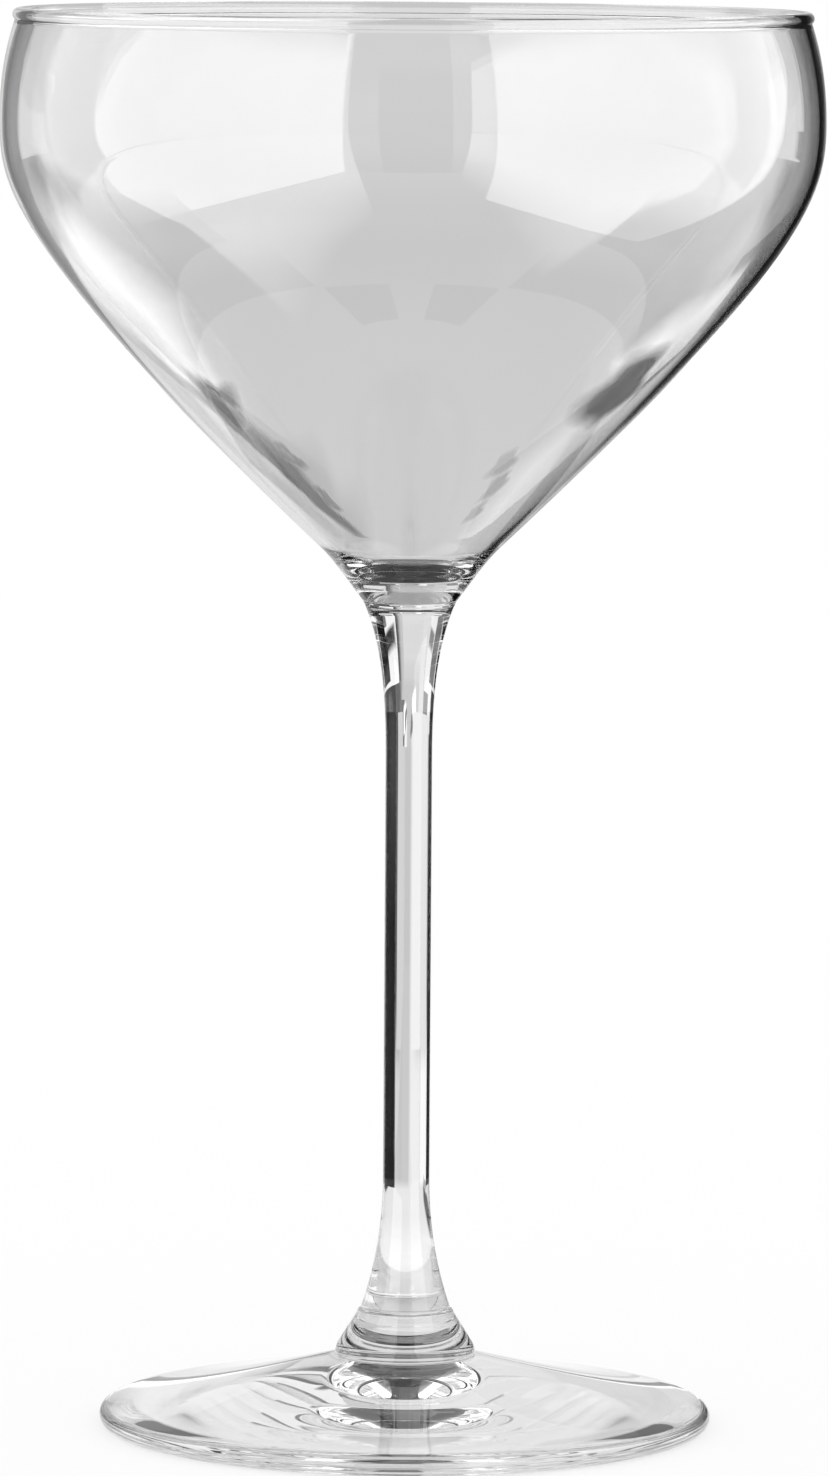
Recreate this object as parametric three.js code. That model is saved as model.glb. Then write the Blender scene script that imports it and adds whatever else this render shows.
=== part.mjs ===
// Champagne saucer glass: a wide shallow bowl on a drawn stem, in clear glass.
// Millimetres, +Z up, origin at the centre of the ring that the glass rests on.
// Four gathers of glass are welded end to end on one axis: foot, collar, stem and bowl.
// Two neighbours share the radius of the flat face at which they are welded.

import * as THREE from 'three';

// Foot: a round plate with a rounded edge, hollowed underneath so that it rests on a flat ring.
const FOOT_RADIUS = 38.1;
const FOOT_EDGE_RADIUS = 1.25;
const FOOT_EDGE_SLOPE = 8;
const FOOT_HEIGHT = 8.75;
const FOOT_PAD_SLOPE = 15;
const RESTING_RING_WIDTH = 3;
const FOOT_HOLLOW_DEPTH = 3.25;
const FOOT_HOLLOW_SLOPE = 9;

// Collar: the short cone of glass pressed onto the foot, with a rounded band round its base.
const COLLAR_RADIUS = 8.75;
const COLLAR_BAND_HEIGHT = 1.6;
const COLLAR_BAND_TAPER = 0.4;
const COLLAR_CONE_HEIGHT = 3.8;
const COLLAR_SHOULDER_RADIUS = 0.35;

// Stem: a drawn rod that flares out to the collar below and to the bowl above.
const STEM_FOOT_RADIUS = 5.65;
const STEM_FOOT_LEAN = -19.5;
const STEM_LOWER_FLARE = 16.25;
const STEM_ROD_RADIUS = 2.9;
const STEM_ROD_LENGTH = 51.25;
const STEM_UPPER_FLARE = 21;
const STEM_HEAD_LEAN = 23.7;
const STEM_HEAD_RADIUS = 5.75;

// Bowl, outside: solid heel, one sweep from the long side round the shoulder to the belly, and a
// lip that draws in again.
const HEEL_HEIGHT = 6.9;
const HEEL_RADIUS = 11.3;
const HEEL_FOOT_LEAN = 38.4;
const HEEL_LEAN = 46.5;
const SWEEP_HEIGHT = 52.2;
const BELLY_RADIUS = 50.9;
const LIP_HEIGHT = 13.9;
const LIP_LEAN = -18.5;
const RIM_RADIUS = 49.3;

// Shares of a curve's chord over which it keeps to its lean: on the bowl's side, on its shoulder,
// on the floor of its hollow, and on a curve that bends evenly.
const SIDE_REACH = 0.79;
const SHOULDER_REACH = 0.13;
const FLOOR_REACH = 0.48;
const EVEN_REACH = 1 / 3;

// Bowl, inside: the floor of the hollow, the wall round it, and the fire-polished rim bead.
const BOWL_FLOOR = 3.6;
const BOWL_WALL = 0.85;
const BEAD_RADIUS = 0.8;
const BEAD_NECK_ANGLE = 50;

// Fineness of the turned surfaces.
const SEGMENTS = 48;
const CURVE_STEPS = 8;

// Heights at which the pieces are welded.
const COLLAR_HEIGHT = COLLAR_BAND_HEIGHT + COLLAR_CONE_HEIGHT + COLLAR_SHOULDER_RADIUS;
const STEM_LENGTH = STEM_LOWER_FLARE + STEM_ROD_LENGTH + STEM_UPPER_FLARE;
const COLLAR_BASE = FOOT_HEIGHT;
const STEM_BASE = COLLAR_BASE + COLLAR_HEIGHT;
const BOWL_BASE = STEM_BASE + STEM_LENGTH;

const radians = THREE.MathUtils.degToRad;

// A point of an outline: its radius, its height, and the lean there of the line that goes up
// through it, in degrees from straight up, outwards positive.
function station(radius, height, lean) {
  return { radius, height, lean: radians(lean) };
}

// The station straight through the wall from an outer one, at right angles to the surface.
function throughWall(outer, wall) {
  return {
    radius: outer.radius - wall * Math.cos(outer.lean),
    height: outer.height + wall * Math.sin(outer.lean),
    lean: outer.lean,
  };
}

// The same station, passed on the way down.
function downward(point) {
  return { ...point, lean: point.lean + Math.PI };
}

// Draws one smooth curve from a station, at which the outline has arrived, to the next one.
// It leaves and arrives along the leans, and keeps to each over a share of its chord.
function drawCurve(outline, from, to, leaving = EVEN_REACH, arriving = EVEN_REACH) {
  const chord = Math.hypot(to.radius - from.radius, to.height - from.height);
  outline.bezierCurveTo(
    from.radius + leaving * chord * Math.sin(from.lean),
    from.height + leaving * chord * Math.cos(from.lean),
    to.radius - arriving * chord * Math.sin(to.lean),
    to.height - arriving * chord * Math.cos(to.lean),
    to.radius,
    to.height,
  );
}

// Turns an outline about the vertical axis into one closed piece of glass at a given height.
// The outline runs from the axis at the bottom, up the outside, and back to the axis.
function turnedPiece(name, outline, base, color) {
  const geometry = new THREE.LatheGeometry(outline.getPoints(CURVE_STEPS), SEGMENTS);
  geometry.rotateX(Math.PI / 2);
  const material = new THREE.MeshStandardMaterial({ color, roughness: 0.03, metalness: 0 });
  const piece = new THREE.Mesh(geometry, material);
  piece.name = name;
  piece.position.z = base;
  return piece;
}

function makeFoot() {
  const edgeCentre = FOOT_RADIUS - FOOT_EDGE_RADIUS;
  const edgeTurn = radians(90 - FOOT_EDGE_SLOPE);
  const hollowRim = station(edgeCentre - RESTING_RING_WIDTH, 0, 90 + FOOT_HOLLOW_SLOPE);
  const edgeTop = station(
    edgeCentre + FOOT_EDGE_RADIUS * Math.cos(edgeTurn),
    FOOT_EDGE_RADIUS * (1 + Math.sin(edgeTurn)),
    FOOT_EDGE_SLOPE - 90,
  );
  const pad = station(COLLAR_RADIUS, FOOT_HEIGHT, FOOT_PAD_SLOPE - 90);
  const outline = new THREE.Path();
  outline.moveTo(0, FOOT_HOLLOW_DEPTH);
  drawCurve(outline, station(0, FOOT_HOLLOW_DEPTH, 90), hollowRim);
  outline.lineTo(edgeCentre, 0);
  outline.absarc(edgeCentre, FOOT_EDGE_RADIUS, FOOT_EDGE_RADIUS, -Math.PI / 2, edgeTurn, false);
  drawCurve(outline, edgeTop, pad);
  outline.lineTo(0, FOOT_HEIGHT);
  return turnedPiece('foot', outline, 0, 0xeef1f1);
}

function makeCollar() {
  const bandTop = COLLAR_RADIUS - COLLAR_BAND_TAPER;
  const shoulder = STEM_FOOT_RADIUS + COLLAR_SHOULDER_RADIUS;
  const coneLean = -THREE.MathUtils.radToDeg(Math.atan2(bandTop - shoulder, COLLAR_CONE_HEIGHT));
  const coneTop = COLLAR_BAND_HEIGHT + COLLAR_CONE_HEIGHT;
  const outline = new THREE.Path();
  outline.moveTo(0, 0);
  outline.lineTo(COLLAR_RADIUS, 0);
  drawCurve(outline, station(COLLAR_RADIUS, 0, 0), station(bandTop, COLLAR_BAND_HEIGHT, coneLean));
  outline.lineTo(shoulder, coneTop);
  outline.absarc(STEM_FOOT_RADIUS, coneTop, COLLAR_SHOULDER_RADIUS, 0, Math.PI / 2, false);
  outline.lineTo(0, COLLAR_HEIGHT);
  return turnedPiece('collar', outline, COLLAR_BASE, 0xe6eaea);
}

function makeStem() {
  const rodTop = STEM_LOWER_FLARE + STEM_ROD_LENGTH;
  const outline = new THREE.Path();
  outline.moveTo(0, 0);
  outline.lineTo(STEM_FOOT_RADIUS, 0);
  const stemFoot = station(STEM_FOOT_RADIUS, 0, STEM_FOOT_LEAN);
  const stemHead = station(STEM_HEAD_RADIUS, STEM_LENGTH, STEM_HEAD_LEAN);
  drawCurve(outline, stemFoot, station(STEM_ROD_RADIUS, STEM_LOWER_FLARE, 0));
  outline.lineTo(STEM_ROD_RADIUS, rodTop);
  drawCurve(outline, station(STEM_ROD_RADIUS, rodTop, 0), stemHead);
  outline.lineTo(0, STEM_LENGTH);
  return turnedPiece('stem', outline, STEM_BASE, 0xdfe4e4);
}

function makeBowl() {
  const heel = station(HEEL_RADIUS, HEEL_HEIGHT, HEEL_LEAN);
  const belly = station(BELLY_RADIUS, heel.height + SWEEP_HEIGHT, 0);
  const rimTop = belly.height + LIP_HEIGHT;

  // The bead is a round cord along the rim, open towards the wall below it.
  const beadCentre = RIM_RADIUS - BEAD_RADIUS;
  const beadHeight = rimTop - BEAD_RADIUS;
  const neckAngle = radians(BEAD_NECK_ANGLE);
  const neckSpread = BEAD_RADIUS * Math.cos(neckAngle);
  const neckHeight = beadHeight - BEAD_RADIUS * Math.sin(neckAngle);
  const outerNeck = station(beadCentre + neckSpread, neckHeight, LIP_LEAN);
  const innerNeck = station(beadCentre - neckSpread, neckHeight, LIP_LEAN);

  const outline = new THREE.Path();
  outline.moveTo(0, 0);
  outline.lineTo(STEM_HEAD_RADIUS, 0);
  drawCurve(outline, station(STEM_HEAD_RADIUS, 0, HEEL_FOOT_LEAN), heel);
  drawCurve(outline, heel, belly, SIDE_REACH, SHOULDER_REACH);
  drawCurve(outline, belly, outerNeck);
  outline.absarc(beadCentre, beadHeight, BEAD_RADIUS, -neckAngle, Math.PI + neckAngle, false);

  const innerBelly = downward(throughWall(belly, BOWL_WALL));
  const innerHeel = downward(throughWall(heel, BOWL_WALL));
  const floor = downward(station(0, BOWL_FLOOR, 90));
  drawCurve(outline, downward(innerNeck), innerBelly);
  drawCurve(outline, innerBelly, innerHeel, SHOULDER_REACH, SIDE_REACH);
  drawCurve(outline, innerHeel, floor, FLOOR_REACH, FLOOR_REACH);
  return turnedPiece('bowl', outline, BOWL_BASE, 0xf2f5f5);
}

const glass = new THREE.Group();
glass.name = 'champagne_glass';
glass.add(makeFoot(), makeCollar(), makeStem(), makeBowl());

export default glass;
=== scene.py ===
import math

import bpy
import numpy as np
from mathutils import Matrix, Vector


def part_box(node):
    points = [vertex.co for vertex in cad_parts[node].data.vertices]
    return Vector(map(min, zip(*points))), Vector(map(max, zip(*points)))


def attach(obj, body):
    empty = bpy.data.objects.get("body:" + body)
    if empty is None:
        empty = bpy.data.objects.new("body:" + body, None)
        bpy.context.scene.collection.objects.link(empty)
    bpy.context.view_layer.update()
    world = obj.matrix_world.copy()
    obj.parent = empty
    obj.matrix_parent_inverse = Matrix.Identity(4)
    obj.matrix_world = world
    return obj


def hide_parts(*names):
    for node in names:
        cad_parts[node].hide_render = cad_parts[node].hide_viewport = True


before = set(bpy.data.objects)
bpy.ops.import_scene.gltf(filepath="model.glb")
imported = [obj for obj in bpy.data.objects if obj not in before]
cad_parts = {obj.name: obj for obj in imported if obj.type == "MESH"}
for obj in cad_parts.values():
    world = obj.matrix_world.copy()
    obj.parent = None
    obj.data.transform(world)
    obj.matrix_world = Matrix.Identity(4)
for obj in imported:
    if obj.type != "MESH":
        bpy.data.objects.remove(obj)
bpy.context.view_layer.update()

# A clear champagne saucer on a white table: bowl, stem, collar and foot, welded end to end.
# Lengths are metres, +Z is up, and every piece is turned about the vertical axis.
# Where the pieces meet, and how wide they are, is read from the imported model.

MM = 0.001

# Outline of the glass, as in the solid model: radii and heights in millimetres, leans in degrees
# from straight up, outwards positive.
FOOT_EDGE_RADIUS = 1.25
FOOT_EDGE_SLOPE = 8
FOOT_PAD_SLOPE = 15
RESTING_RING_WIDTH = 3
FOOT_HOLLOW_DEPTH = 3.25
FOOT_HOLLOW_SLOPE = 9
COLLAR_BAND_HEIGHT = 1.6
COLLAR_BAND_TAPER = 0.4
COLLAR_SHOULDER_RADIUS = 0.35
STEM_FOOT_RADIUS = 5.65
STEM_FOOT_LEAN = -19.5
STEM_LOWER_FLARE = 16.25
STEM_ROD_RADIUS = 2.9
STEM_UPPER_FLARE = 21
STEM_HEAD_LEAN = 23.7
HEEL_HEIGHT = 6.9
HEEL_RADIUS = 11.3
HEEL_FOOT_LEAN = 38.4
HEEL_LEAN = 46.5
SWEEP_HEIGHT = 52.2
LIP_LEAN = -18.5
RIM_RADIUS = 49.3
SIDE_REACH = 0.79
SHOULDER_REACH = 0.13
FLOOR_REACH = 0.48
EVEN_REACH = 1 / 3
BOWL_FLOOR = 3.6
BOWL_WALL = 0.85
BEAD_RADIUS = 0.8
BEAD_NECK_ANGLE = 50

# Gap between the weld faces of two pieces, in metres, so that light passes one before the other.
WELD_GAP = 0.00001

# Fineness of the turned surfaces.
TURN_STEPS = 192
CURVE_STEPS = 28
ARC_STEPS = 24

# Points of an outline that lie no farther apart than this, in millimetres, count as one.
SAME_POINT = 1e-6

# Camera, from the outline of the glass in the photograph.
CAMERA_DISTANCE = 1.117
CAMERA_HEIGHT = 0.1993
CAMERA_PITCH = 5.792
CAMERA_YAW = 0.032
CAMERA_ROLL = 0.371
CAMERA_LENS = 220.9
CAMERA_SENSOR = 36
CAMERA_REACH = 100

# White table: its size, the gap under the glass, its paint, the share of it that is as white as the
# background, and the light that falls on it.
TABLE_RADIUS = 1.2
TABLE_GAP = 0.00005
TABLE_PAINT = (0.9, 0.9, 0.9, 1)
TABLE_WHITE_SHARE = 0.75
LIGHT_STRENGTH = 1.11

# Cards of the studio round the glass. Levels are shares of white, and bearings are degrees to the
# right of straight behind the glass.
CARD_STEPS = 48
BACKDROP_DISTANCE = 0.9
BACKDROP_LAYER = 0.001
# Painted caustic light: level of the two bright streak cards, brighter than white.
PAINTED_STREAK_LEVEL = 1.6
FRONT_LEVEL = 0.4
CEILING_HEIGHT = 1.2
CEILING_RADII = 0.01, 3
CEILING_RINGS = 40
CEILING_LEVEL = 0.5
CEILING_FADE = 0.45, 2.2
# Painted shade patches: corners round their outline, and the share of their size that is fully
# dark.
PAINTED_SHADE_STEPS = 36
PAINTED_SHADE_CORE = 0.6

# Mat on the table: each zone has the radii between which it takes over, and its levels by bearing.
# Its edge grows white between the two white bearings, on either side.
MAT_HEIGHT = 0.0005
MAT_START = 0.045
MAT_STEP = 0.015
MAT_ZONES_END = 0.45
MAT_RADIUS = 1.15
MAT_WHITE_BEARINGS = 60, 80
MAT_ZONES = [
    (0.045, 0.1, [(-180, 0.7), (-155, 0.7), (-140, 0.85), (140, 0.85), (155, 0.7), (180, 0.7)]),
    (0.165, 0.195, [
        (-180, 0.65), (-155, 0.65), (-148, 0.55), (-108, 0.55), (-86, 1.1), (-28, 1.1), (-24, 0.85),
        (-6, 0.85), (-3, 0.6), (12, 0.6), (26, 0.7), (30, 1), (54, 1), (62, 0.55), (148, 0.55),
        (155, 0.65), (180, 0.65),
    ]),
    (0.3, 0.42, [
        (-180, 0.65), (-155, 0.65), (-148, 0.6), (-70, 0.6), (-60, 0.3), (-45, 0.3), (-40, 0.3),
        (-18, 0.3), (-12, 0.6), (-6, 0.85), (-3, 0.6), (10, 0.6), (13.5, 0.02), (50, 0.02),
        (58, 0.6), (148, 0.6), (155, 0.65), (180, 0.65),
    ]),
]

# Upright cards bent round the axis: radii, the heights of their edges and of any fade between,
# and the bearings between which the flags stand.
FLAG_LEVEL = 0.02
FLAG_RADIUS = 0.056
FLAG_HEIGHTS = [0.02, 0.094]
HEEL_FLAG_HEIGHTS = [0.096, 0.112, 0.13]
FAR_FLAG_RADIUS = 0.15
FAR_FLAG_HEIGHTS = [0, 0.045, 0.1]
NEAR_FLAGS = {
    "left": (-75, -46), "right": (20, 75),
    "front_left": (-173, -152), "front_right": (152, 173),
}
FAR_FLAGS = {"left": (-115, -46), "right": (20, 115)}
HEEL_FLAGS = {"left": (-150, -60), "right": (60, 150)}
EDGE_HEIGHTS = [0.1, 0.22]
EDGE_HIGH_HEIGHTS = [0.15, 0.22]
PALE_RADIUS = 0.2
PALE_HEIGHTS = [0.02, 0.08]
FADE_UPWARDS = [[1], [1], [0]]

# Refraction of the glass.
GLASS_IOR = 1.52

# Light lost in each piece's glass, per metre.
ABSORPTION = {"foot": 1.5, "collar": 5, "stem": 4, "bowl": 26}

# Painted shade along the edges of the glass: the share of its colour left where it turns edge on to
# the sight line, and how far it turns before the shade begins.
PAINTED_EDGE_SHADE = {"foot": 1, "collar": 0.8, "stem": 0.7, "bowl": 0.6}
PAINTED_EDGE_SHADE_START = 0.5

# Unevenness of the glass: waves to the metre in each piece and their depth, the fine cloud's grains
# to the metre, its detail, its darkest tint and its greatest roughness.
FINISH_WAVES = {"foot": 25, "collar": 90, "stem": 60, "bowl": 40}
FINISH_DEPTH = 0.00001
FINISH_CLOUD = 400
FINISH_DETAIL = 4
FINISH_TINT = (0.985, 0.99, 0.988, 1)
FINISH_ROUGHNESS = 0.003

# Times that a sight line may be bent or thrown back, and thrown back alone.
LIGHT_BOUNCES = 32
GLOSSY_BOUNCES = 16


def station(radius, height, lean):
    """A point of an outline: radius, height, and the lean of the line going up through it."""
    return radius, height, math.radians(lean)


def through_wall(outer, wall):
    """The station at the other side of a wall, at right angles to the surface."""
    radius, height, lean = outer
    return radius - wall * math.cos(lean), height + wall * math.sin(lean), lean


def downward(point):
    """The same station, passed on the way down."""
    radius, height, lean = point
    return radius, height, lean + math.pi


def curve(start, end, leaving=EVEN_REACH, arriving=EVEN_REACH):
    """Smooth line from one station to the next: the cubic whose handles lie along the two leans
    and are the given shares of the chord long."""
    t = np.linspace(0, 1, CURVE_STEPS + 1)[:, None]
    first, last = np.array(start[:2]), np.array(end[:2])
    chord = np.linalg.norm(last - first)
    out = first + leaving * chord * np.array([math.sin(start[2]), math.cos(start[2])])
    back = last - arriving * chord * np.array([math.sin(end[2]), math.cos(end[2])])
    return (
        (1 - t) ** 3 * first
        + 3 * t * (1 - t) ** 2 * out
        + 3 * t**2 * (1 - t) * back
        + t**3 * last
    )


def arc(centre_radius, centre_height, radius, start, end):
    """Round line about a centre, from one angle to another, in degrees from straight outwards."""
    angle = np.radians(np.linspace(start, end, ARC_STEPS + 1))
    return np.stack(
        [centre_radius + radius * np.cos(angle), centre_height + radius * np.sin(angle)], 1
    )


def straight(*points):
    """Straight line with the few points it needs."""
    return np.array(points, float)


def joined(*lines):
    """The lines one after the other, with each repeated point kept once."""
    line = np.concatenate(lines)
    step = np.linalg.norm(np.diff(line, axis=0), axis=1)
    return line[np.concatenate([[True], step > SAME_POINT])]


def turned_piece(name, line, base, welds=()):
    """Surface of revolution: the point (r, z) of the outline at turn a lies at
    (r cos a, r sin a, base + z). The outline goes up the outside, and each of its ends closes on
    the axis: in a point where it reaches the axis, or else in a flat weld face."""
    rings = line[line[:, 0] > 0]
    turn = np.arange(TURN_STEPS) * (2 * math.pi / TURN_STEPS)
    radius, height = rings[:, :1] * MM, rings[:, 1:] * MM + base
    height = np.broadcast_to(height, (len(rings), TURN_STEPS))
    places = np.stack([radius * np.cos(turn), radius * np.sin(turn), height], -1).reshape(-1, 3)
    poles = np.array([[0, 0, line[0, 1] * MM + base], [0, 0, line[-1, 1] * MM + base]])
    places = np.concatenate([places, poles])
    low_pole, high_pole = len(places) - 2, len(places) - 1

    here = np.arange(TURN_STEPS)
    after = (here + 1) % TURN_STEPS
    row = np.arange(len(rings) - 1)[:, None] * TURN_STEPS
    quads = np.stack(
        [row + here, row + after, row + TURN_STEPS + after, row + TURN_STEPS + here], -1
    ).reshape(-1, 4)
    top = (len(rings) - 1) * TURN_STEPS
    low_fan = np.stack([np.full(TURN_STEPS, low_pole), after, here], 1)
    high_fan = np.stack([top + here, top + after, np.full(TURN_STEPS, high_pole)], 1)
    fans = np.concatenate([low_fan, high_fan])

    mesh = bpy.data.meshes.new(name)
    mesh.vertices.add(len(places))
    mesh.vertices.foreach_set("co", places.ravel())
    corners = np.concatenate([quads.ravel(), fans.ravel()])
    sides = np.concatenate([np.full(len(quads), 4), np.full(len(fans), 3)])
    mesh.loops.add(len(corners))
    mesh.loops.foreach_set("vertex_index", corners)
    mesh.polygons.add(len(sides))
    mesh.polygons.foreach_set("loop_start", np.concatenate([[0], np.cumsum(sides)[:-1]]))
    mesh.polygons.foreach_set("loop_total", sides)
    weld = np.zeros(len(sides), int)
    weld[len(quads):len(quads) + TURN_STEPS] = "below" in welds
    weld[len(quads) + TURN_STEPS:] = "above" in welds
    mesh.polygons.foreach_set("use_smooth", weld == 0)
    mesh.polygons.foreach_set("material_index", weld)
    mesh.update(calc_edges=True)
    mesh.validate()
    piece = bpy.data.objects.new(name, mesh)
    bpy.context.scene.collection.objects.link(piece)
    return piece


def make_foot():
    """Plate with a rounded edge, hollow underneath, up to the flat pad under the collar."""
    low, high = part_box("foot")
    foot_radius, foot_height = high[0] / MM, high[2] / MM
    collar_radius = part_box("collar")[1][0] / MM
    edge_centre = foot_radius - FOOT_EDGE_RADIUS
    hollow_rim = station(edge_centre - RESTING_RING_WIDTH, 0, 90 + FOOT_HOLLOW_SLOPE)
    edge = arc(edge_centre, FOOT_EDGE_RADIUS, FOOT_EDGE_RADIUS, -90, 90 - FOOT_EDGE_SLOPE)
    edge_top = station(*edge[-1], FOOT_EDGE_SLOPE - 90)
    pad = station(collar_radius, foot_height, FOOT_PAD_SLOPE - 90)
    line = joined(
        curve(station(0, FOOT_HOLLOW_DEPTH, 90), hollow_rim), edge, curve(edge_top, pad)
    )
    return turned_piece("foot_glass", line, low[2], welds=("above",))


def make_collar():
    """Short cone with a rounded band at its base and a small round shoulder at its top."""
    low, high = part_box("collar")
    radius, height = high[0] / MM, (high[2] - low[2]) / MM
    band_top = radius - COLLAR_BAND_TAPER
    shoulder = STEM_FOOT_RADIUS + COLLAR_SHOULDER_RADIUS
    cone_top = height - COLLAR_SHOULDER_RADIUS
    cone_lean = math.degrees(math.atan2(shoulder - band_top, cone_top - COLLAR_BAND_HEIGHT))
    line = joined(
        curve(station(radius, 0, 0), station(band_top, COLLAR_BAND_HEIGHT, cone_lean)),
        straight((band_top, COLLAR_BAND_HEIGHT), (shoulder, cone_top)),
        arc(STEM_FOOT_RADIUS, cone_top, COLLAR_SHOULDER_RADIUS, 0, 90),
    )
    return turned_piece("collar_glass", line, low[2] + WELD_GAP, welds=("below", "above"))


def make_stem():
    """Drawn rod that flares to the collar below and to the bowl above."""
    low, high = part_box("stem")
    head_radius, length = high[0] / MM, (high[2] - low[2]) / MM
    rod_foot = station(STEM_ROD_RADIUS, STEM_LOWER_FLARE, 0)
    rod_head = station(STEM_ROD_RADIUS, length - STEM_UPPER_FLARE, 0)
    line = joined(
        curve(station(STEM_FOOT_RADIUS, 0, STEM_FOOT_LEAN), rod_foot),
        curve(rod_foot, rod_head),
        curve(rod_head, station(head_radius, length, STEM_HEAD_LEAN)),
    )
    return turned_piece("stem_glass", line, low[2] + 2 * WELD_GAP, welds=("below", "above"))


def make_bowl():
    """Solid heel, thin side, round shoulder and lip with a bead, and the hollow inside them."""
    low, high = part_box("bowl")
    belly_radius, height = high[0] / MM, (high[2] - low[2]) / MM
    head_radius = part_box("stem")[1][0] / MM
    heel = station(HEEL_RADIUS, HEEL_HEIGHT, HEEL_LEAN)
    belly = station(belly_radius, HEEL_HEIGHT + SWEEP_HEIGHT, 0)
    bead = arc(
        RIM_RADIUS - BEAD_RADIUS,
        height - BEAD_RADIUS,
        BEAD_RADIUS,
        -BEAD_NECK_ANGLE,
        180 + BEAD_NECK_ANGLE,
    )
    outer_neck, inner_neck = station(*bead[0], LIP_LEAN), station(*bead[-1], LIP_LEAN)
    inner_belly = downward(through_wall(belly, BOWL_WALL))
    inner_heel = downward(through_wall(heel, BOWL_WALL))
    floor = downward(station(0, BOWL_FLOOR, 90))
    line = joined(
        curve(station(head_radius, 0, HEEL_FOOT_LEAN), heel),
        curve(heel, belly, SIDE_REACH, SHOULDER_REACH),
        curve(belly, outer_neck),
        bead,
        curve(downward(inner_neck), inner_belly),
        curve(inner_belly, inner_heel, SHOULDER_REACH, SIDE_REACH),
        curve(inner_heel, floor, FLOOR_REACH, FLOOR_REACH),
    )
    # The floor ends exactly on the axis.
    line[-1, 0] = 0
    return turned_piece("bowl_glass", line, low[2] + 3 * WELD_GAP, welds=("below",))


def node_tree_of(material):
    """Switches a material to nodes and returns its empty tree."""
    material.use_nodes = True
    material.node_tree.nodes.clear()
    return material.node_tree


def glass_finish():
    """Faint unevenness of fire-polished glass, by the place on the object: long waves that bend the
    surface, and a fine cloud that takes a trace of its brightness and of its polish."""
    group = bpy.data.node_groups.new("glass_finish", "ShaderNodeTree")
    sockets = group.interface
    sockets.new_socket("Waves", in_out="INPUT", socket_type="NodeSocketFloat")
    sockets.new_socket("Cloud", in_out="INPUT", socket_type="NodeSocketFloat")
    sockets.new_socket("Colour", in_out="OUTPUT", socket_type="NodeSocketColor")
    sockets.new_socket("Roughness", in_out="OUTPUT", socket_type="NodeSocketFloat")
    sockets.new_socket("Height", in_out="OUTPUT", socket_type="NodeSocketFloat")
    nodes, links = group.nodes, group.links
    given, result = nodes.new("NodeGroupInput"), nodes.new("NodeGroupOutput")
    place = nodes.new("ShaderNodeTexCoord")
    waves, cloud = nodes.new("ShaderNodeTexNoise"), nodes.new("ShaderNodeTexNoise")
    for noise, count, detail in ((waves, "Waves", 0), (cloud, "Cloud", FINISH_DETAIL)):
        links.new(place.outputs["Object"], noise.inputs["Vector"])
        links.new(given.outputs[count], noise.inputs["Scale"])
        noise.inputs["Detail"].default_value = detail
    tint = nodes.new("ShaderNodeValToRGB")
    tint.color_ramp.elements[0].color = FINISH_TINT
    tint.color_ramp.elements[1].color = (1, 1, 1, 1)
    links.new(cloud.outputs["Fac"], tint.inputs["Fac"])
    polish = nodes.new("ShaderNodeMath")
    polish.operation = "MULTIPLY"
    polish.inputs[1].default_value = FINISH_ROUGHNESS
    links.new(cloud.outputs["Fac"], polish.inputs[0])
    links.new(tint.outputs["Color"], result.inputs["Colour"])
    links.new(polish.outputs[0], result.inputs["Roughness"])
    links.new(waves.outputs["Fac"], result.inputs["Height"])
    return group


def clear_glass(name, finish, waves, absorption, edge):
    """Colourless glass with the finish's unevenness, the light lost in it for each metre, and
    painted shade at its edges: the edge share is what is left of its colour where it turns edge on."""
    material = bpy.data.materials.new(name)
    tree = node_tree_of(material)
    glass = tree.nodes.new("ShaderNodeBsdfPrincipled")
    glass.inputs["IOR"].default_value = GLASS_IOR
    glass.inputs["Transmission Weight"].default_value = 1
    surface = tree.nodes.new("ShaderNodeGroup")
    surface.node_tree = finish
    surface.inputs["Waves"].default_value = waves
    surface.inputs["Cloud"].default_value = FINISH_CLOUD
    relief = tree.nodes.new("ShaderNodeBump")
    relief.inputs["Strength"].default_value = 1
    relief.inputs["Distance"].default_value = FINISH_DEPTH
    tree.links.new(surface.outputs["Height"], relief.inputs["Height"])
    tree.links.new(relief.outputs["Normal"], glass.inputs["Normal"])
    # Painted shade: the colour of the glass darkens towards its edges, where it turns edge on to
    # the sight line.
    turned = tree.nodes.new("ShaderNodeLayerWeight")
    dim = tree.nodes.new("ShaderNodeValToRGB")
    dim.color_ramp.elements[0].position = PAINTED_EDGE_SHADE_START
    dim.color_ramp.elements[0].color = (1, 1, 1, 1)
    dim.color_ramp.elements[1].color = (edge, edge, edge, 1)
    tree.links.new(turned.outputs["Facing"], dim.inputs["Fac"])
    tint = tree.nodes.new("ShaderNodeMix")
    tint.data_type = "RGBA"
    tint.blend_type = "MULTIPLY"
    tint.inputs["Factor"].default_value = 1
    colour_a, colour_b, mixed = tint.inputs[6], tint.inputs[7], tint.outputs[2]
    tree.links.new(surface.outputs["Colour"], colour_a)
    tree.links.new(dim.outputs["Color"], colour_b)
    tree.links.new(mixed, glass.inputs["Base Color"])
    tree.links.new(surface.outputs["Roughness"], glass.inputs["Roughness"])
    body = tree.nodes.new("ShaderNodeVolumeAbsorption")
    body.inputs["Color"].default_value = (0, 0, 0, 1)
    body.inputs["Density"].default_value = absorption
    output = tree.nodes.new("ShaderNodeOutputMaterial")
    tree.links.new(glass.outputs["BSDF"], output.inputs["Surface"])
    tree.links.new(body.outputs["Volume"], output.inputs["Volume"])
    return material


def weld_face():
    """The melted face between two pieces, through which light goes straight on."""
    material = bpy.data.materials.new("weld")
    tree = node_tree_of(material)
    clear = tree.nodes.new("ShaderNodeBsdfTransparent")
    output = tree.nodes.new("ShaderNodeOutputMaterial")
    tree.links.new(clear.outputs["BSDF"], output.inputs["Surface"])
    return material


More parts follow.
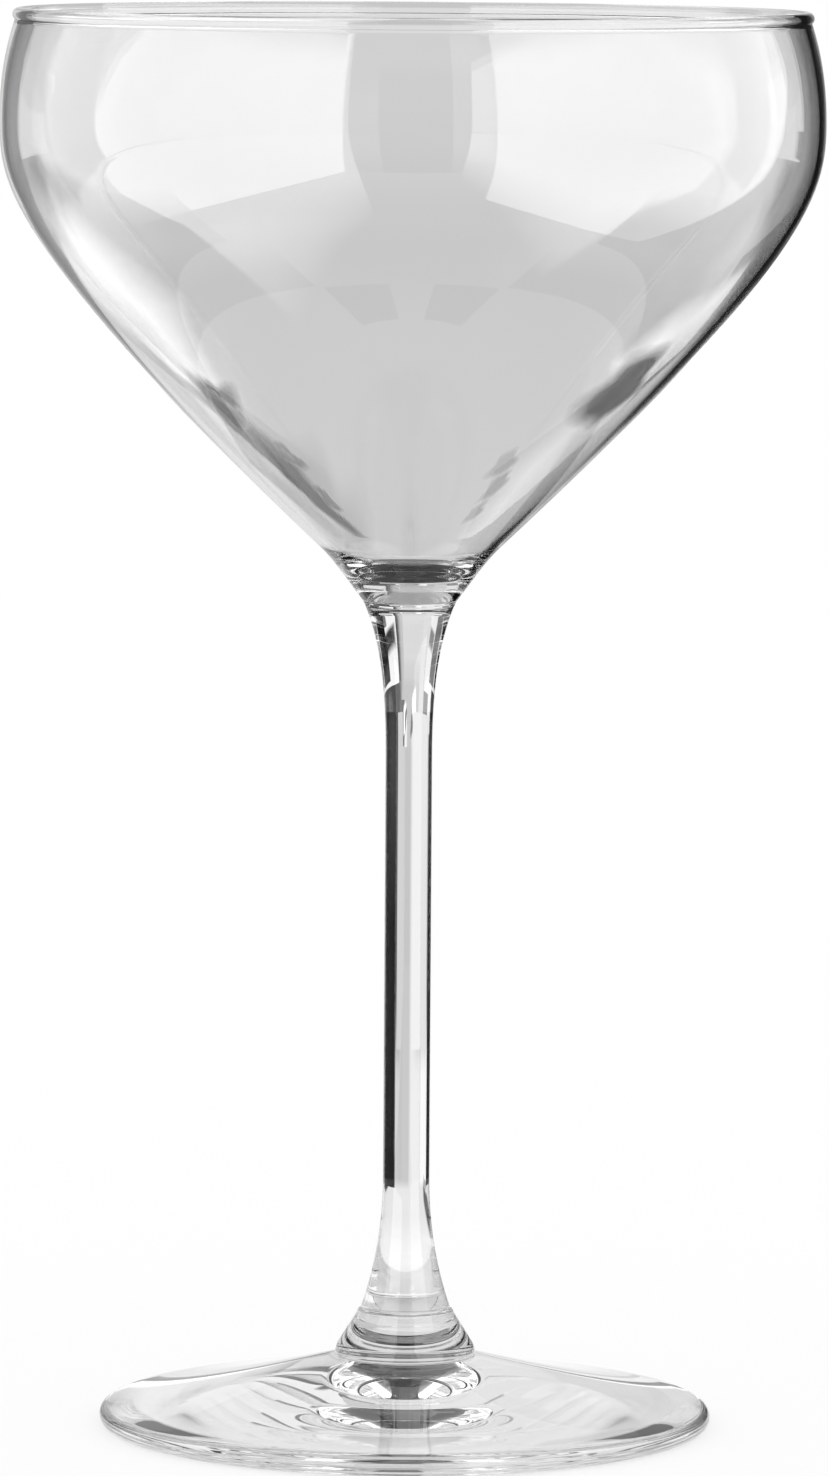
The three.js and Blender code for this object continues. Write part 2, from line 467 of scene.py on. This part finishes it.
def make_glass():
    """The four pieces, each standing for its solid and taking its own finish."""
    weld = weld_face()
    finish = glass_finish()
    makers = {"foot": make_foot, "collar": make_collar, "stem": make_stem, "bowl": make_bowl}
    for node, make in makers.items():
        piece = make()
        glass = clear_glass(
            "clear_" + node, finish, FINISH_WAVES[node], ABSORPTION[node], PAINTED_EDGE_SHADE[node]
        )
        piece.data.materials.append(glass)
        piece.data.materials.append(weld)
        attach(piece, "root")
        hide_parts(node)


def seen_by(tree, output, direct, other):
    """Gives one shader to sight lines from the camera, straight or by way of glass, and another to
    the light that falls on things."""
    path = tree.nodes.new("ShaderNodeLightPath")
    sight = tree.nodes.new("ShaderNodeMath")
    sight.operation = "MAXIMUM"
    tree.links.new(path.outputs["Is Camera Ray"], sight.inputs[0])
    through = tree.nodes.new("ShaderNodeMath")
    through.operation = "MAXIMUM"
    tree.links.new(path.outputs["Is Glossy Ray"], through.inputs[0])
    tree.links.new(path.outputs["Is Transmission Ray"], through.inputs[1])
    tree.links.new(through.outputs[0], sight.inputs[1])
    mix = tree.nodes.new("ShaderNodeMixShader")
    tree.links.new(sight.outputs[0], mix.inputs[0])
    tree.links.new(other, mix.inputs[1])
    tree.links.new(direct, mix.inputs[2])
    tree.links.new(mix.outputs[0], output.inputs["Surface"])


def staged(name, places, faces, material):
    """Object of the studio with the given corners and faces."""
    mesh = bpy.data.meshes.new(name)
    mesh.from_pydata([tuple(place) for place in places], [], [list(face) for face in faces])
    mesh.materials.append(material)
    shape = bpy.data.objects.new(name, mesh)
    bpy.context.scene.collection.objects.link(shape)
    return shape


def make_table():
    """Round white table under the glass, as white as the background, with the glass's shadow."""
    material = bpy.data.materials.new("white_table")
    tree = node_tree_of(material)
    paint = tree.nodes.new("ShaderNodeBsdfDiffuse")
    paint.inputs["Color"].default_value = TABLE_PAINT
    white = tree.nodes.new("ShaderNodeEmission")
    share = tree.nodes.new("ShaderNodeMixShader")
    share.inputs[0].default_value = TABLE_WHITE_SHARE
    tree.links.new(paint.outputs["BSDF"], share.inputs[1])
    tree.links.new(white.outputs[0], share.inputs[2])
    output = tree.nodes.new("ShaderNodeOutputMaterial")
    seen_by(tree, output, share.outputs[0], paint.outputs["BSDF"])
    turn = np.arange(TURN_STEPS) * (2 * math.pi / TURN_STEPS)
    height = np.full(TURN_STEPS, -TABLE_GAP)
    places = np.stack([TABLE_RADIUS * np.cos(turn), TABLE_RADIUS * np.sin(turn), height], 1)
    staged("table", places, [range(TURN_STEPS)], material)


def card_glow(name, mirrored=False):
    """Light of the studio's cards. Each corner of a card has its own level and its own cover.
    Where the cover is below 1, what lies behind the card shows through. A mirrored card shows
    only to sight lines that the glass has thrown back, and not to those that go straight
    through it."""
    material = bpy.data.materials.new(name)
    material.cycles.emission_sampling = "NONE"
    tree = node_tree_of(material)
    level = tree.nodes.new("ShaderNodeAttribute")
    level.attribute_name = "level"
    cover = tree.nodes.new("ShaderNodeAttribute")
    cover.attribute_name = "cover"
    light = tree.nodes.new("ShaderNodeEmission")
    tree.links.new(level.outputs["Fac"], light.inputs["Strength"])
    clear = tree.nodes.new("ShaderNodeBsdfTransparent")
    mix = tree.nodes.new("ShaderNodeMixShader")
    shown = cover.outputs["Fac"]
    if mirrored:
        path = tree.nodes.new("ShaderNodeLightPath")
        thrown_back = tree.nodes.new("ShaderNodeMath")
        thrown_back.operation = "MULTIPLY"
        thrown_back.use_clamp = True
        tree.links.new(shown, thrown_back.inputs[0])
        tree.links.new(path.outputs["Glossy Depth"], thrown_back.inputs[1])
        shown = thrown_back.outputs[0]
    tree.links.new(shown, mix.inputs[0])
    tree.links.new(clear.outputs[0], mix.inputs[1])
    tree.links.new(light.outputs[0], mix.inputs[2])
    output = tree.nodes.new("ShaderNodeOutputMaterial")
    tree.links.new(mix.outputs[0], output.inputs["Surface"])
    return material


def card(name, places, faces, level, cover=1, glow=None):
    """Card that is seen in the glass only: the camera looks past it, and it neither lights nor
    shades anything. It has the plain card's light unless another glow is given."""
    shape = staged(name, places, faces, glow or CARD_GLOW)
    for label, values in (("level", level), ("cover", cover)):
        layer = shape.data.attributes.new(label, "FLOAT", "POINT")
        layer.data.foreach_set("value", np.broadcast_to(values, len(places)).astype(np.float32))
    shape.visible_camera = False
    shape.visible_diffuse = False
    shape.visible_shadow = False
    return shape


def flat_card(name, level, corners, rim=None, glow=None):
    """Flat card, with one level or one for each corner. With a rim, one rim corner for each corner,
    it fades out between the two; a rim corner that lies on its corner leaves the edge sharp."""
    count = len(corners)
    level = np.broadcast_to(level, count)
    if rim is None:
        return card(name, corners, [range(count)], level, glow=glow)
    places = np.concatenate([corners, rim])
    here = np.arange(count)
    after = (here + 1) % count
    faces = [list(here)] + np.stack([here, count + here, count + after, after], 1).tolist()
    return card(name, places, faces, np.tile(level, 2), np.repeat([1, 0], count), glow)


def grid_card(name, places, level, cover=1):
    """Card stretched over rows of places, with a level and a cover at each place."""
    rows, columns = places.shape[:2]
    here = np.arange(rows - 1)[:, None] * columns + np.arange(columns - 1)
    faces = np.stack([here, here + 1, here + columns + 1, here + columns], -1).reshape(-1, 4)
    level, cover = [np.broadcast_to(values, (rows, columns)).ravel() for values in (level, cover)]
    return card(name, places.reshape(-1, 3), faces, level, cover)


def round_rows(radii, heights, bearings):
    """Rows of places round the axis, one row for each radius and height: at bearing b a place
    lies at (r sin b, r cos b, z)."""
    turn = np.radians(bearings)
    radii, heights, turn = np.broadcast_arrays(
        np.atleast_1d(radii)[:, None], np.atleast_1d(heights)[:, None], turn
    )
    return np.stack([radii * np.sin(turn), radii * np.cos(turn), heights], -1)


def round_card(name, radius, heights, start, end, level, cover=1):
    """Upright card bent round the axis, from one bearing to another."""
    places = round_rows(radius, heights, np.linspace(start, end, CARD_STEPS))
    return grid_card(name, places, level, cover)


def soft_step(start, full, value):
    """0 up to the start, 1 from the full value on, and an even bend between."""
    share = np.clip((value - start) / (full - start), 0, 1)
    return share * share * (3 - 2 * share)


def tone(stops, bearings):
    """Tones between the stops, each a bearing and a level."""
    return np.interp(bearings, *np.array(stops).T)


def upright(start, end, *points):
    """Places on an upright plane over a line on the table: each point is a distance along the line
    and a height."""
    start, end = np.array(start), np.array(end)
    along = (end - start) / np.linalg.norm(end - start)
    return [(*(start + distance * along), height) for distance, height in points]


def far(*points, nearer=0):
    """Places on the upright plane far behind the glass, or so many layers nearer: each point is a
    place across and a height."""
    behind = BACKDROP_DISTANCE - nearer * BACKDROP_LAYER
    return [(across, behind, height) for across, height in points]


def far_box(left, right, low, high):
    """Corners of an upright oblong far behind the glass."""
    return far((left, low), (right, low), (right, high), (left, high))


def before_backdrop(*points):
    """Places in front of all other cards on the far plane."""
    return far(*points, nearer=4)


def on_mat(*points):
    """Places just above the mat: each point is a place across and a place behind the glass."""
    return [(across, behind, 2 * MAT_HEIGHT) for across, behind in points]


def painted_shade(name, level, centre, size, lean, lay=before_backdrop):
    """Painted shade: a small dark patch with a wavy outline that fades out, with its two half
    widths as its size, and leaning so many degrees from level. Its outline is an oval times
    1 + 0.16 cos(3a + 1) + 0.1 cos 5a at angle a."""
    turn = np.linspace(0, 2 * math.pi, PAINTED_SHADE_STEPS, endpoint=False)
    wave = 1 + 0.16 * np.cos(3 * turn + 1) + 0.1 * np.cos(5 * turn)
    long, wide = size[0] * wave * np.cos(turn), size[1] * wave * np.sin(turn)
    lean = math.radians(lean)
    x = long * math.cos(lean) - wide * math.sin(lean)
    y = long * math.sin(lean) + wide * math.cos(lean)
    core = lay(*zip(centre[0] + PAINTED_SHADE_CORE * x, centre[1] + PAINTED_SHADE_CORE * y))
    rim = lay(*zip(centre[0] + x, centre[1] + y))
    flat_card(name, level, core, rim)


def make_softboxes():
    """A bright panel on each side of the glass, cut as its reflection in the bowl shows it. It
    fades out towards its top, and is a little dimmer at its far end."""
    left = (-0.145, -0.443), (-0.210, -0.051)
    flat_card(
        "softbox_left",
        [2.5, 2.3, 1.9, 1.75, 1.9, 2.4, 2.5, 2.5],
        upright(
            *left,
            (0, 0), (0.36, 0), (0.53, 0.12), (0.55, 0.19),
            (0.556, 0.314), (0.498, 0.359), (0.434, 0.4), (0, 0.38),
        ),
        upright(
            *left,
            (0, 0), (0.5, 0), (0.6, 0.12), (0.575, 0.2),
            (0.556, 0.314), (0.51, 0.38), (0.45, 0.62), (0, 0.66),
        ),
        glow=PANEL_GLOW,
    )
    right = (0.083, -0.220), (0.168, -0.027)
    edge = [
        (0, 0), (0.211, 0), (0.318, 0.099), (0.34, 0.138), (0.38, 0.179), (0.395, 0.195),
        (0.39, 0.226), (0.392, 0.326), (0.3255, 0.393),
    ]
    flat_card(
        "softbox_right",
        [2.5, 2.5, 2.4, 2.3, 2.2, 2.2, 2.2, 2.3, 2.5, 2.5, 2.5],
        upright(*right, *edge, (0.26, 0.42), (0, 0.38)),
        upright(*right, *edge, (0.28, 0.6), (0, 0.66)),
        glow=PANEL_GLOW,
    )


def make_backdrop():
    """Grey backdrop far behind the glass, with paler and darker cards beside it and before it,
    among them painted caustic light and painted shade.
    """
    heights = [0, 0.1, 0.125, 0.16, 0.19, 0.9]
    levels = np.array([[0.61], [0.61], [0.68], [0.7], [0.76], [0.76]])
    rows = np.array([far((-0.25, height), (0.118, height)) for height in heights])
    grid_card("backdrop", rows, levels)
    flat_card(
        "left_low",
        0.85,
        far((-0.25, 0), (-0.07, 0), (-0.07, 0.014), (-0.25, 0.014), nearer=1),
        far((-0.25, 0), (-0.05, 0), (-0.05, 0.024), (-0.25, 0.024), nearer=1),
    )
    flat_card(
        "right_pale",
        0.95,
        far((0.06, 0), (0.118, 0), (0.118, 0.045), (0.06, 0.03), nearer=1),
        far((0.035, 0), (0.118, 0), (0.118, 0.07), (0.035, 0.045), nearer=1),
    )
    across = [0.118, 0.15, 0.18, 0.21, 0.25]
    rows = np.array([far(*[(x, height) for x in across]) for height in (0.07, 0.9)])
    grid_card("right_grey", rows, np.array([0.6, 0.6, 0.45, 0.12, 0.02]))
    flat_card("right_low", 0.1, far_box(0.118, 0.25, 0, 0.07))
    flat_card("right_dark", 0.01, far_box(0.25, 0.95, 0, 0.115))
    flat_card(
        "right_patch", 0.05, far_box(0.31, 0.62, 0.29, 0.38), far_box(0.26, 0.67, 0.24, 0.42)
    )
    flat_card(
        "left_patch", 0.3, far_box(-0.62, -0.46, 0.31, 0.4), far_box(-0.67, -0.42, 0.27, 0.44)
    )
    flat_card("left_pale", 0.8, far_box(-0.42, -0.25, 0, 0.5))
    flat_card("left_dark", 0.3, far_box(-0.68, -0.42, 0, 0.1))
    make_painted_streaks()
    make_painted_shades()


def make_painted_streaks():
    """Painted caustic light: two bright cards before the backdrop, brighter than white, which show
    as bright streaks low in the bowl.
    """
    flat_card(
        "painted_streak_left",
        PAINTED_STREAK_LEVEL,
        far(
            (-0.165, 0.02), (-0.1, 0.03), (-0.085, 0.047),
            (-0.09, 0.062), (-0.115, 0.072), (-0.165, 0.075), nearer=2,
        ),
        far(
            (-0.165, 0.0), (-0.09, 0.025), (-0.066, 0.044),
            (-0.066, 0.08), (-0.11, 0.098), (-0.165, 0.11), nearer=2,
        ),
    )
    flat_card(
        "painted_streak_right",
        PAINTED_STREAK_LEVEL,
        far(
            (0.105, 0.02), (0.14, 0.01), (0.137, 0.05),
            (0.11, 0.05), (0.09, 0.053), (0.078, 0.053), nearer=2,
        ),
        far(
            (0.09, 0.018), (0.14, 0.01), (0.137, 0.06),
            (0.11, 0.064), (0.087, 0.07), (0.064, 0.062), nearer=2,
        ),
    )


def make_painted_shades():
    """Painted shade: small dark patches before the backdrop that stand for the glass's own shadow
    and caustics on the table, and show as spots and lobes low in the bowl.
    """
    painted_shade("painted_shade_right", 0, (0.088, 0.036), (0.034, 0.014), -41)
    painted_shade("shade_left", 0.2, (-0.068, 0.025), (0.036, 0.017), -15)
    painted_shade("painted_shade_left", 0.05, (-0.079, 0.036), (0.024, 0.008), 49)
    painted_shade("lobe_left_upper", 0.3, (-0.053, 0.038), (0.008, 0.004), 20)
    painted_shade("lobe_left_lower", 0.3, (-0.046, 0.029), (0.007, 0.004), 20)
    painted_shade("lobe_right_upper", 0.42, (0.038, 0.045), (0.007, 0.004), -20)
    painted_shade("lobe_right_middle", 0.42, (0.041, 0.037), (0.007, 0.004), -20)
    painted_shade("lobe_right_lower", 0.42, (0.038, 0.030), (0.007, 0.004), -20)


def make_mat():
    """Mat on the table: white round the foot, and then zone after zone with tones that go by the
    bearing. At the sides and in front it grows white again towards its edge."""
    bearings = np.linspace(-180, 180, 2 * TURN_STEPS + 1)
    radii = np.append(np.arange(MAT_START, MAT_ZONES_END, MAT_STEP), MAT_RADIUS)
    level = np.ones((len(radii), len(bearings)))
    for start, full, stops in MAT_ZONES:
        share = soft_step(start, full, radii)[:, None]
        level = (1 - share) * level + share * tone(stops, bearings)
    level[-1] = np.maximum(level[-1], soft_step(*MAT_WHITE_BEARINGS, np.abs(bearings)))
    grid_card("mat", round_rows(radii, MAT_HEIGHT, bearings), level)
    # Painted shadow of the glass on the table: three dark patches on the mat, which show low in the
    # bowl.
    painted_shade("mat_painted_shadow_right", 0.02, (0.128, 0.12), (0.064, 0.026), 82, on_mat)
    painted_shade("mat_painted_shadow_left", 0.45, (-0.116, 0.125), (0.03, 0.016), 100, on_mat)
    painted_shade("mat_shade_left", 0.1, (-0.076, 0.068), (0.078, 0.02), 113, on_mat)


def make_ceiling():
    """Mid grey ceiling that grows white outwards."""
    radii = np.linspace(*CEILING_RADII, CEILING_RINGS)
    white = soft_step(*CEILING_FADE, radii)[:, None]
    level = CEILING_LEVEL + (1 - CEILING_LEVEL) * white
    bearings = np.linspace(-180, 180, CARD_STEPS + 1)
    grid_card("ceiling", round_rows(radii, CEILING_HEIGHT, bearings), level)


def make_flags():
    """Dark cards round the stem, which show along its edges: near ones through its glass, and
    farther ones in its surface. Near ones beside the heel keep the softboxes out of it."""
    for side, bearings in NEAR_FLAGS.items():
        flag = round_card("flag_" + side, FLAG_RADIUS, FLAG_HEIGHTS, *bearings, FLAG_LEVEL)
        flag.visible_glossy = False
    for side, bearings in FAR_FLAGS.items():
        flag = round_card(
            "far_flag_" + side,
            FAR_FLAG_RADIUS,
            FAR_FLAG_HEIGHTS,
            *bearings,
            FLAG_LEVEL,
            FADE_UPWARDS,
        )
        flag.visible_transmission = False
    for side, bearings in HEEL_FLAGS.items():
        flag = round_card(
            "heel_flag_" + side,
            FLAG_RADIUS,
            HEEL_FLAG_HEIGHTS,
            *bearings,
            FLAG_LEVEL,
            FADE_UPWARDS,
        )
        flag.visible_glossy = False


def make_edge_cards():
    """Pale cards that show in the middle of the stem, and dark ones that show along the edges
    of the bowl."""
    round_card("pale_left", PALE_RADIUS, PALE_HEIGHTS, -44, -6, 0.88)
    round_card("pale_right", PALE_RADIUS, PALE_HEIGHTS, 10, 19, 0.62)
    round_card("edge_left", FAR_FLAG_RADIUS, EDGE_HEIGHTS, -56, -36, 0.22)
    round_card("edge_right", FAR_FLAG_RADIUS, EDGE_HEIGHTS, 33, 59, 0.01)
    round_card("edge_right_high", FAR_FLAG_RADIUS, EDGE_HIGH_HEIGHTS, 28, 33, 0.2)


def make_studio():
    """Everything around the glass that shows in it, and that the camera itself looks past."""
    make_softboxes()
    make_backdrop()
    make_mat()
    make_ceiling()
    make_flags()
    make_edge_cards()
    front = (-0.145, -0.45), (0.083, -0.45)
    flat_card("front", FRONT_LEVEL, upright(*front, (0, 0), (0.228, 0), (0.228, 0.6), (0, 0.6)))


def make_world():
    """White all round, to the camera and through the glass, and even light on the table."""
    world = bpy.data.worlds.new("studio")
    bpy.context.scene.world = world
    world.use_nodes = True
    tree = world.node_tree
    tree.nodes.clear()
    white = tree.nodes.new("ShaderNodeBackground")
    white.inputs["Color"].default_value = (1, 1, 1, 1)
    light = tree.nodes.new("ShaderNodeBackground")
    light.inputs["Color"].default_value = (1, 1, 1, 1)
    light.inputs["Strength"].default_value = LIGHT_STRENGTH
    output = tree.nodes.new("ShaderNodeOutputWorld")
    seen_by(tree, output, white.outputs[0], light.outputs[0])


def make_camera():
    """Camera in front of the glass, a little above its rim, looking down at its middle."""
    data = bpy.data.cameras.new("camera")
    data.lens = CAMERA_LENS
    data.sensor_width = CAMERA_SENSOR
    data.clip_end = CAMERA_REACH
    camera = bpy.data.objects.new("camera", data)
    camera.matrix_world = (
        Matrix.Translation((0, -CAMERA_DISTANCE, CAMERA_HEIGHT))
        @ Matrix.Rotation(-math.radians(CAMERA_YAW), 4, "Z")
        @ Matrix.Rotation(math.radians(90 - CAMERA_PITCH), 4, "X")
        @ Matrix.Rotation(math.radians(CAMERA_ROLL), 4, "Z")
    )
    bpy.context.scene.collection.objects.link(camera)
    bpy.context.scene.camera = camera


def set_render():
    """Plain colours, and enough bounces for light to find its way through solid glass."""
    scene = bpy.context.scene
    scene.view_settings.view_transform = "Standard"
    scene.cycles.max_bounces = LIGHT_BOUNCES
    scene.cycles.transmission_bounces = LIGHT_BOUNCES
    scene.cycles.glossy_bounces = GLOSSY_BOUNCES
    scene.cycles.transparent_max_bounces = LIGHT_BOUNCES


make_camera()
make_glass()
make_table()
CARD_GLOW = card_glow("card")
PANEL_GLOW = card_glow("panel", mirrored=True)
make_studio()
make_world()
set_render()
